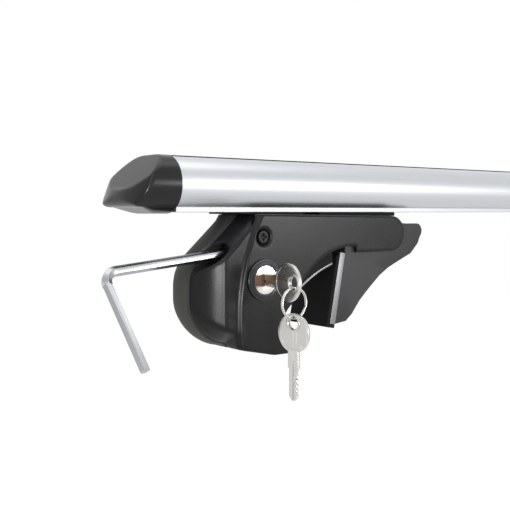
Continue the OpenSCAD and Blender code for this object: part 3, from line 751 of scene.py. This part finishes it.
class CrossbarStage(bpy.types.PropertyGroup):
    """Floor, lamps and camera"""

    floor_drop: length_property("Floor drop", "Gap between the lowest point and the floor", 0.06)
    key_power: power_property("Key lamp", "Power of the large upper lamp", 5.0)
    fill_power: power_property("Fill lamp", "Power of the lamp on the right", 5.0)
    front_power: power_property("Front lamp", "Power of the lamp beside the camera", 16.0)
    top_power: power_property("Top lamp", "Power of the lamp above", 4.0)
    world_light: bpy.props.FloatProperty(
        name="World light", description="Strength of the room's light on the object", default=0.55
    )
    lens: bpy.props.FloatProperty(
        name="Lens", description="Focal length of the camera", default=57.6, unit="CAMERA"
    )


# Finishes

LOOKS = {}


def looks():
    """The finish of each material slot, and the darker finishes of painted shade for the recessed
    screws and the saddle, made once.
    """
    if LOOKS:
        return LOOKS
    finishes = bpy.context.scene.crossbar_finishes
    tint = {name: tuple(getattr(finishes, name)) for name in CrossbarFinishes.__annotations__}
    all_ways = (300.0, 300.0, 300.0)
    bright = (0.85, 0.85, 0.86)
    key_bright = (0.86, 0.86, 0.84)
    cut_bright = (0.45, 0.45, 0.45)
    LOOKS["bar_aluminium"] = anodised_aluminium("anodised_aluminium", tint["bar"])
    LOOKS["black_rubber"] = soft_rubber("black_rubber", tint["rubber"])
    LOOKS["cap_plastic"] = moulded_plastic("cap_plastic", tint["cap"], 0.24, 2400.0, 0.28)
    LOOKS["shell_plastic"] = moulded_plastic("shell_plastic", tint["shell"], 0.27, 1900.0, 0.19)
    LOOKS["body_nylon"] = filled_nylon("body_nylon", tint["body"])
    LOOKS["jaw_paint"] = powder_coat("jaw_powder_coat", tint["jaw"])
    LOOKS["zinc_steel"] = plated_steel("zinc_plate", tint["zinc"], 0.4, all_ways, tint["zinc"])
    LOOKS["plate_steel"] = plated_steel(
        "cut_steel", tint["plate"], 0.42, (200.0, 30.0, 900.0), cut_bright
    )
    LOOKS["tool_steel"] = plated_steel(
        "hex_key_nickel", tint["tool"], 0.26, (60.0, 900.0, 900.0), bright
    )
    LOOKS["lock_body"] = black_chromate("bezel_chromate", tint["lock"])
    LOOKS["lock_nickel"] = lock_core("lock_core_nickel", tint["core"], tint["brass"])
    # The shells' screws: near-black steel, painted shade of their deep recesses
    LOOKS["recessed"] = plated_steel(
        "black_oxide", tint["recessed"], 0.3, all_ways, tint["recessed"]
    )
    # The saddle takes the shells' darker colour instead of the nylon's: painted shade for the
    # inside of the arch
    LOOKS["saddle"] = moulded_plastic("saddle_nylon", tint["shell"], 0.6, 900.0, 0.1)
    LOOKS["key_nickel"] = plated_steel(
        "key_nickel", tint["key"], 0.27, (500.0, 90.0, 320.0), key_bright
    )
    return LOOKS


# Pieces


def replace_pair(stem, body, slot, mesh, smooth_to=SMOOTH_TO, finish=None):
    """One mesh for end a and its turned copy for end b. The body is the bar or one of each foot."""
    for foot in FEET:
        data = mesh if foot == "a" else turned_copy(mesh)
        node = f"{stem}_{foot}"
        rides = body if body == "bar" else f"{body}_{foot}"
        dress(link(f"{node}_piece", data), rides, slot, node, smooth_to, finish)


def bevel_pair(stem, body, slot, width, segments=COARSE, finish=None):
    """A bevelled copy of foot a's CAD node and its turned copy for foot b."""
    replace_pair(stem, body, slot, bevelled(f"{stem}_a", width, segments), finish=finish)


def bar_outline(edge):
    """The extrusion's outline and its three chambers, in Y and Z, in metres."""
    half = (BAR_HIGH.y - BAR_LOW.y) / 2
    height = BAR_HIGH.z - BAR_LOW.z
    end_r = height / 2
    end_y = half - end_r
    middle = BAR_UNDER + end_r
    top = BAR_HIGH.z
    wall = 2 * MM
    flange = 16.3 * MM
    flange_h = 2.8 * MM
    channel = 9 * MM
    depth = 5.6 * MM
    top_mouth = 5.5 * MM
    low_mouth = 4.3 * MM
    drop = math.degrees(math.asin((end_r - flange_h) / end_r))
    nose_steps = 44
    room_steps = 30
    right = arc((end_y, middle), end_r, -drop, 90, nose_steps)
    left = arc((-end_y, middle), end_r, 90, 180 + drop, nose_steps)
    low = BAR_UNDER
    slot_top = [
        (top_mouth, top),
        (top_mouth, top - wall),
        (channel, top - wall),
        (channel, top - wall - depth),
    ]
    slot_low = [
        (channel, low + flange_h + depth),
        (channel, low + flange_h),
        (low_mouth, low + flange_h),
        (low_mouth, low),
    ]
    corners = [(p, 0) for p in right]
    corners += [(p, edge if i == 0 else edge / 2) for i, p in enumerate(slot_top)]
    corners += [((-y, z), edge if i == 3 else edge / 2) for i, (y, z) in enumerate(slot_top[::-1])]
    corners += [(p, 0) for p in left]
    corners += [((-flange, low + flange_h), edge), ((-flange, low), edge)]
    corners += [((-y, z), edge / 2) for y, z in slot_low[::-1]]
    corners += [(p, edge / 2) for p in slot_low]
    corners += [((flange, low), edge), ((flange, low + flange_h), edge)]
    outline = filleted([p for p, r in corners], [r for p, r in corners])
    web = channel + wall
    inner = end_r - wall
    lean = math.degrees(math.acos(min(1.0, (web - end_y) / inner)))
    right_room = arc((end_y, middle), inner, lean, -lean, room_steps)
    left_room = [(-y, z) for y, z in right_room[::-1]]
    centre_low = low + flange_h + depth + wall
    centre_high = top - wall - depth - wall
    centre = [
        (-channel, centre_low),
        (-channel, centre_high),
        (channel, centre_high),
        (channel, centre_low),
    ]
    return [outline, right_room, left_room, filleted(centre, [edge] * len(centre))]


class CROSSBAR_OT_bar(bpy.types.Operator):
    """Extruded aluminium bar with its T-slots and the rubber strip in its top slot"""

    bl_idname = "crossbar.bar"
    bl_label = "Bar and strip"

    def execute(self, context):
        edge = context.scene.crossbar_edges.bar_round
        bm = rounded_plate(bar_outline(edge), BAR_LOW.x, BAR_HIGH.x, BAR_END_ROUND, CHAMFER)
        bar = link("bar_piece", to_mesh(bm, "bar"))
        dress(bar, "bar", "bar_aluminium", "bar", BAR_SMOOTH_TO)
        strip = link("top_strip_piece", bevelled("top_strip", STRIP_ROUND, FINE))
        dress(strip, "bar", "black_rubber", "top_strip")
        return {"FINISHED"}


class CROSSBAR_OT_end_caps(bpy.types.Operator):
    """Moulded end caps with their creased noses"""

    bl_idname = "crossbar.end_caps"
    bl_label = "End caps"

    def execute(self, context):
        mesh = moulded("end_cap_a", context.scene.crossbar_edges.cap_cell, CAP_ROUNDS)
        mesh = softened(mesh, CAP_SOFT_FROM, CAP_SOFT_TO, CAP_SOFT_ROUNDS)
        replace_pair("end_cap", "bar", "cap_plastic", mesh, MOULDED_SMOOTH_TO)
        return {"FINISHED"}


class CROSSBAR_OT_shells(bpy.types.Operator):
    """Front and rear shells of both feet"""

    bl_idname = "crossbar.shells"
    bl_label = "Shells"

    def execute(self, context):
        cell = context.scene.crossbar_edges.shell_cell
        for side in ("front", "rear"):
            mesh = moulded(f"{side}_shell_a", cell, SHELL_ROUNDS)
            mesh = softened(mesh, FOOT_SOFT_FROM, FOOT_SOFT_TO, SHELL_SOFT_ROUNDS)
            replace_pair(f"{side}_shell", "foot", "shell_plastic", mesh, MOULDED_SMOOTH_TO)
        return {"FINISHED"}


class CROSSBAR_OT_centre_bodies(bpy.types.Operator):
    """Nylon centre bodies that show between the shells"""

    bl_idname = "crossbar.centre_bodies"
    bl_label = "Centre bodies"

    def execute(self, context):
        mesh = moulded("centre_body_a", context.scene.crossbar_edges.shell_cell, BODY_ROUNDS)
        mesh = softened(mesh, FOOT_SOFT_FROM, FOOT_SOFT_TO, BODY_SOFT_ROUNDS)
        replace_pair("centre_body", "foot", "body_nylon", mesh, MOULDED_SMOOTH_TO)
        return {"FINISHED"}


class CROSSBAR_OT_pads(bpy.types.Operator):
    """Rubber between the bar and the feet, and the liner and pad that meet the rail"""

    bl_idname = "crossbar.pads"
    bl_label = "Rubber pads"

    def execute(self, context):
        bevel_pair("saddle_pads", "foot", "black_rubber", PAD_ROUND, FINE)
        bevel_pair("saddle_liner", "foot", "plate_steel", LINER_ROUND)
        bevel_pair("jaw_pad", "jaw", "black_rubber", JAW_PAD_ROUND, FINE)
        return {"FINISHED"}


class CROSSBAR_OT_jaws(bpy.types.Operator):
    """Powder-coated clamp jaws and their steel plates"""

    bl_idname = "crossbar.jaws"
    bl_label = "Clamp jaws"

    def execute(self, context):
        edges = context.scene.crossbar_edges
        bevel_pair("jaw", "jaw", "jaw_paint", edges.jaw_round, FINE)
        bevel_pair("clamp_plate", "jaw", "plate_steel", edges.metal_round)
        return {"FINISHED"}


class CROSSBAR_OT_locks(bpy.types.Operator):
    """Lock bezels and their turning cores"""

    bl_idname = "crossbar.locks"
    bl_label = "Locks"

    def execute(self, context):
        width = context.scene.crossbar_edges.metal_round
        bevel_pair("lock_barrel", "foot", "lock_body", width, FINE)
        bevel_pair("lock_plug", "lock", "lock_nickel", width * PLUG_SHARE, FINE)
        return {"FINISHED"}


def key_outline(sizes, bow_y):
    """A key's outline: its blade's root at 0, its bow towards -Y and its width in Z."""
    bow_r = sizes.bow / 2
    neck = sizes.neck_width / 2
    blade = sizes.blade_width / 2
    tip = sizes.blade_length
    open_angle = math.degrees(math.asin(neck / bow_r))
    outline = arc((bow_y, 0), bow_r, open_angle, 360 - open_angle, BOW_STEPS)
    outline += [(-COLLAR, -neck), (0, -neck), (0, -blade)]
    for i in range(TEETH):
        start = FIRST_TOOTH + TOOTH_PITCH * i
        depth = (TOOTH_LEAST + TOOTH_MORE * ((i * 3) % 4)) * MM
        outline += [
            (start, -blade),
            (start + TOOTH_FALL, -blade + depth),
            (start + TOOTH_FLAT, -blade + depth),
            (start + TOOTH_RISE, -blade + TOOTH_LEFT),
        ]
    outline += [(tip - TIP_LOW, -blade), (tip, -TIP_HALF), (tip, TIP_HALF)]
    outline += [(tip - TIP_HIGH, blade), (0, blade), (0, neck), (-COLLAR, neck)]
    return outline


def key_mesh(sizes):
    """A key with its thickness in X: blank, milled grooves, sunk bow faces and raised hole rim."""
    bow_r = sizes.bow / 2
    bow_y = -sizes.neck_length - bow_r + BOW_OVERLAP
    half = sizes.thick / 2
    tip = sizes.blade_length
    hole_y = bow_y - sizes.bow / 4
    hole = arc((hole_y, 0), sizes.hole / 2, 0, -ALL_ROUND, ROUND_STEPS)
    blank = rounded_plate([key_outline(sizes, bow_y), hole], -half, half, KEY_ROUND)
    blank = to_mesh(blank, "blank")
    cutters = []
    for side in (-1, 1):
        outside = side * half * OUTSIDE_SHARE
        low, high = sorted((outside, side * half * GROOVE_FLOOR_SHARE))
        groove = [
            (GROOVE_FROM, GROOVE_OFF * side - GROOVE_HALF),
            (tip + MM, GROOVE_OFF * side - GROOVE_HALF),
            (tip + MM, GROOVE_OFF * side + GROOVE_HALF),
            (GROOVE_FROM, GROOVE_OFF * side + GROOVE_HALF),
        ]
        slit = rounded_plate([groove], low, high, GROOVE_ROUND, CHAMFER)
        cutters.append(to_mesh(slit, "groove"))
        face = arc((bow_y, 0), bow_r - BOW_RIM, 0, ALL_ROUND, ROUND_STEPS)
        low, high = sorted((side * (half - KEY_ROUND), outside))
        recess = rounded_plate([face], low, high, BOW_ROUND, CHAMFER)
        cutters.append(to_mesh(recess, "recess"))
    blank = carve(blank, cutters)
    island = arc((hole_y, 0), BOSS_RADIUS, 0, ALL_ROUND, ROUND_STEPS)
    boss = rounded_plate([island, hole], -half - BOSS_OUT, half + BOSS_OUT, BOSS_OUT)
    return join([blank, to_mesh(boss, "boss")], "key")


class CROSSBAR_OT_keys(bpy.types.Operator):
    """Key in the lock and the spare key that hangs from the ring"""

    bl_idname = "crossbar.keys"
    bl_label = "Keys"

    def execute(self, context):
        mesh = key_mesh(context.scene.crossbar_keys)
        root_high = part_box("key_in_lock")[1]
        spare_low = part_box("spare_key")[0]
        ring_low, ring_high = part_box("key_ring")
        blade = context.scene.crossbar_keys.blade_length
        first = mesh.copy()
        first.transform(Matrix.Translation((LOCK_X, root_high.y - blade, LOCK_Z)))
        key = link("key_in_lock_piece", first)
        dress(key, "lock_a", "key_nickel", "key_in_lock", KEY_SMOOTH_TO)
        lean = Matrix.Rotation(math.radians(SPARE_LEAN), 4, "Z")
        turn = lean @ Matrix.Rotation(math.radians(-90), 4, "X")
        hang = Vector(
            ((ring_low.x + ring_high.x) / 2, (ring_low.y + ring_high.y) / 2, spare_low.z + blade)
        )
        mesh.transform(Matrix.Translation(hang) @ turn)
        spare = link("spare_key_piece", mesh)
        dress(spare, "spare_key", "key_nickel", "spare_key", KEY_SMOOTH_TO)
        return {"FINISHED"}


class CROSSBAR_OT_key_ring(bpy.types.Operator):
    """Split ring of two turns of wire"""

    bl_idname = "crossbar.key_ring"
    bl_label = "Key ring"

    def execute(self, context):
        wire = context.scene.crossbar_keys.wire
        low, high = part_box("key_ring")
        centre = (low + high) / 2
        radius = (high.z - low.z) / 2 - wire / 2
        points = []
        for i in range(RING_STEPS + 1):
            t = i / RING_STEPS
            angle = math.tau * RING_TURNS * t + math.radians(RING_START)
            shift = wire * COIL_PITCH * (crossing(t) - 0.5)
            points.append(
                centre + Vector((radius * math.cos(angle), shift, radius * math.sin(angle)))
            )
        ring = link("key_ring_piece", to_mesh(tube(points, wire / 2), "key_ring"))
        dress(ring, "key_ring", "key_nickel", "key_ring", MOULDED_SMOOTH_TO)
        return {"FINISHED"}


def crossing(t):
    """0 on the first turn and 1 on the second, crossing over in a short slant."""
    start, span = 0.46, 0.08
    x = min(1.0, max(0.0, (t - start) / span))
    return x * x * (3 - 2 * x)


class CROSSBAR_OT_hex_key(bpy.types.Operator):
    """Bent hex key in the clamp screw's socket"""

    bl_idname = "crossbar.hex_key"
    bl_label = "Hex key"

    def execute(self, context):
        tool = link("hex_key_piece", bevelled("hex_key", HEX_ROUND, angle=HEX_BEVEL_FROM))
        dress(tool, "screw_a", "tool_steel", "hex_key", HEX_SMOOTH_TO)
        return {"FINISHED"}


class CROSSBAR_OT_screws(bpy.types.Operator):
    """Clamp screws and the shells' screws"""

    bl_idname = "crossbar.screws"
    bl_label = "Screws"

    def execute(self, context):
        width = context.scene.crossbar_edges.metal_round
        bevel_pair("clamp_screw", "screw", "zinc_steel", width)
        # The shells' screws get the near-black finish: painted shade of their recesses
        bevel_pair("shell_screws", "foot", "zinc_steel", width * HEAD_SHARE, finish="recessed")
        return {"FINISHED"}


class CROSSBAR_OT_inner_parts(bpy.types.Operator):
    """Bracket, bolts, nuts, pins, saddle and cam inside each foot"""

    bl_idname = "crossbar.inner_parts"
    bl_label = "Inner parts"

    def execute(self, context):
        width = context.scene.crossbar_edges.metal_round
        # The saddle gets its darker finish: painted shade inside the arch
        bevel_pair("rail_saddle", "foot", "body_nylon", SADDLE_ROUND, FINE, "saddle")
        for stem in ("tee_bolts", "tee_nuts", "steel_bracket"):
            bevel_pair(stem, "foot", "zinc_steel", width)
        plain = ("guide_pin", "thrust_washer", "lock_nut", "jaw_nut", "lock_cam", "cam_screw")
        for foot in FEET:
            for stem in plain:
                finish_node(f"{stem}_{foot}", "zinc_steel")
        return {"FINISHED"}


def soft_lamp(name, place, size, power):
    """A rectangular area lamp at place that looks at the foot with the keys."""
    lamp = bpy.data.lights.new(name, "AREA")
    lamp.shape = "RECTANGLE"
    lamp.size, lamp.size_y = size
    lamp.energy = power
    holder = bpy.data.objects.new(name, lamp)
    holder.location = place
    holder.rotation_euler = (Vector(AIM) - Vector(place)).to_track_quat("-Z", "Y").to_euler()
    holder.visible_camera = False
    bpy.context.scene.collection.objects.link(holder)


class CROSSBAR_OT_stage(bpy.types.Operator):
    """Pale floor, white room, soft lamps and the camera"""

    bl_idname = "crossbar.stage"
    bl_label = "Stage"

    def execute(self, context):
        scene = context.scene
        stage = scene.crossbar_stage
        self.floor(stage)
        self.room(scene, stage)
        for name, (place, size) in LAMPS.items():
            soft_lamp(f"{name}_lamp", place, size, getattr(stage, f"{name}_power"))
        camera = bpy.data.cameras.new("camera")
        camera.lens = stage.lens
        camera.sensor_width = CAMERA_SENSOR
        camera.clip_start = CAMERA_NEAREST
        holder = bpy.data.objects.new("camera", camera)
        holder.location = CAMERA_PLACE
        holder.rotation_euler = (math.radians(90 - CAMERA_DIP), 0, math.radians(CAMERA_TURN))
        scene.collection.objects.link(holder)
        scene.camera = holder
        scene.view_settings.view_transform = "Standard"
        return {"FINISHED"}

    def floor(self, stage):
        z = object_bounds()[0][2] - stage.floor_drop
        corners = [(-1, -1), (1, -1), (1, 1), (-1, 1)]
        bm = bmesh.new()
        bm.faces.new([bm.verts.new((x * FLOOR_HALF, y * FLOOR_HALF, z)) for x, y in corners])
        floor = link("floor", to_mesh(bm, "floor"))
        look = new_look("pale_floor")
        seen = self.seen_rays(look)
        grain = look.noise(3.0, 2.0)
        pale = look.mix((0.8, 0.8, 0.8), (0.84, 0.84, 0.84), grain)
        matt = look.node("ShaderNodeBsdfDiffuse", {}, {"Color": pale})
        white = look.node("ShaderNodeEmission", {}, {"Color": (1, 1, 1), "Strength": FLOOR_WHITE})
        both = look.node("ShaderNodeMixShader", {}, {0: seen * FLOOR_SEEN_SHARE, 1: matt, 2: white})
        look.node("ShaderNodeOutputMaterial", {}, {"Surface": both})
        floor.data.materials.append(look.owner)
        floor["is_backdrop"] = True

    def seen_rays(self, look):
        """1 for rays that show the background: camera, reflected and transmitted ones."""
        camera = look.node("ShaderNodeLightPath", out="Is Camera Ray")
        glossy = look.node("ShaderNodeLightPath", out="Is Glossy Ray")
        clear = look.node("ShaderNodeLightPath", out="Is Transmission Ray")
        return (camera + glossy + clear).over(0.0, 1.0)

    def room(self, scene, stage):
        look = Look(bpy.data.worlds.new("white_room"))
        seen = self.seen_rays(look)
        lit = stage.world_light
        back = look.node(
            "ShaderNodeBackground", {}, {"Color": (1, 1, 1), "Strength": lit + (1.0 - lit) * seen}
        )
        look.node("ShaderNodeOutputWorld", {}, {"Surface": back})
        scene.world = look.owner


OPERATORS = (
    CROSSBAR_OT_bar,
    CROSSBAR_OT_end_caps,
    CROSSBAR_OT_shells,
    CROSSBAR_OT_centre_bodies,
    CROSSBAR_OT_pads,
    CROSSBAR_OT_jaws,
    CROSSBAR_OT_locks,
    CROSSBAR_OT_keys,
    CROSSBAR_OT_key_ring,
    CROSSBAR_OT_hex_key,
    CROSSBAR_OT_screws,
    CROSSBAR_OT_inner_parts,
    CROSSBAR_OT_stage,
)
GROUPS = {
    "crossbar_finishes": CrossbarFinishes,
    "crossbar_edges": CrossbarEdges,
    "crossbar_keys": CrossbarKeys,
    "crossbar_stage": CrossbarStage,
}


class CROSSBAR_PT_panel(bpy.types.Panel):
    """Lists the crossbar's properties and the buttons that build it"""

    bl_idname = "CROSSBAR_PT_panel"
    bl_label = "Roof rack crossbar"
    bl_space_type = "VIEW_3D"
    bl_region_type = "UI"
    bl_category = "Crossbar"

    def draw(self, context):
        for name, group in GROUPS.items():
            box = self.layout.box()
            for field in group.__annotations__:
                box.prop(getattr(context.scene, name), field)
        for operator in OPERATORS:
            self.layout.operator(operator.bl_idname)


def register():
    for kind in (*GROUPS.values(), *OPERATORS, CROSSBAR_PT_panel):
        bpy.utils.register_class(kind)
    for name, group in GROUPS.items():
        setattr(bpy.types.Scene, name, bpy.props.PointerProperty(type=group))


def unregister():
    for name in GROUPS:
        delattr(bpy.types.Scene, name)
    for kind in (CROSSBAR_PT_panel, *reversed(OPERATORS), *reversed(GROUPS.values())):
        bpy.utils.unregister_class(kind)


def main():
    register()
    for operator in OPERATORS:
        family, name = operator.bl_idname.split(".")
        getattr(getattr(bpy.ops, family), name)()


if __name__ == "__main__":
    main()
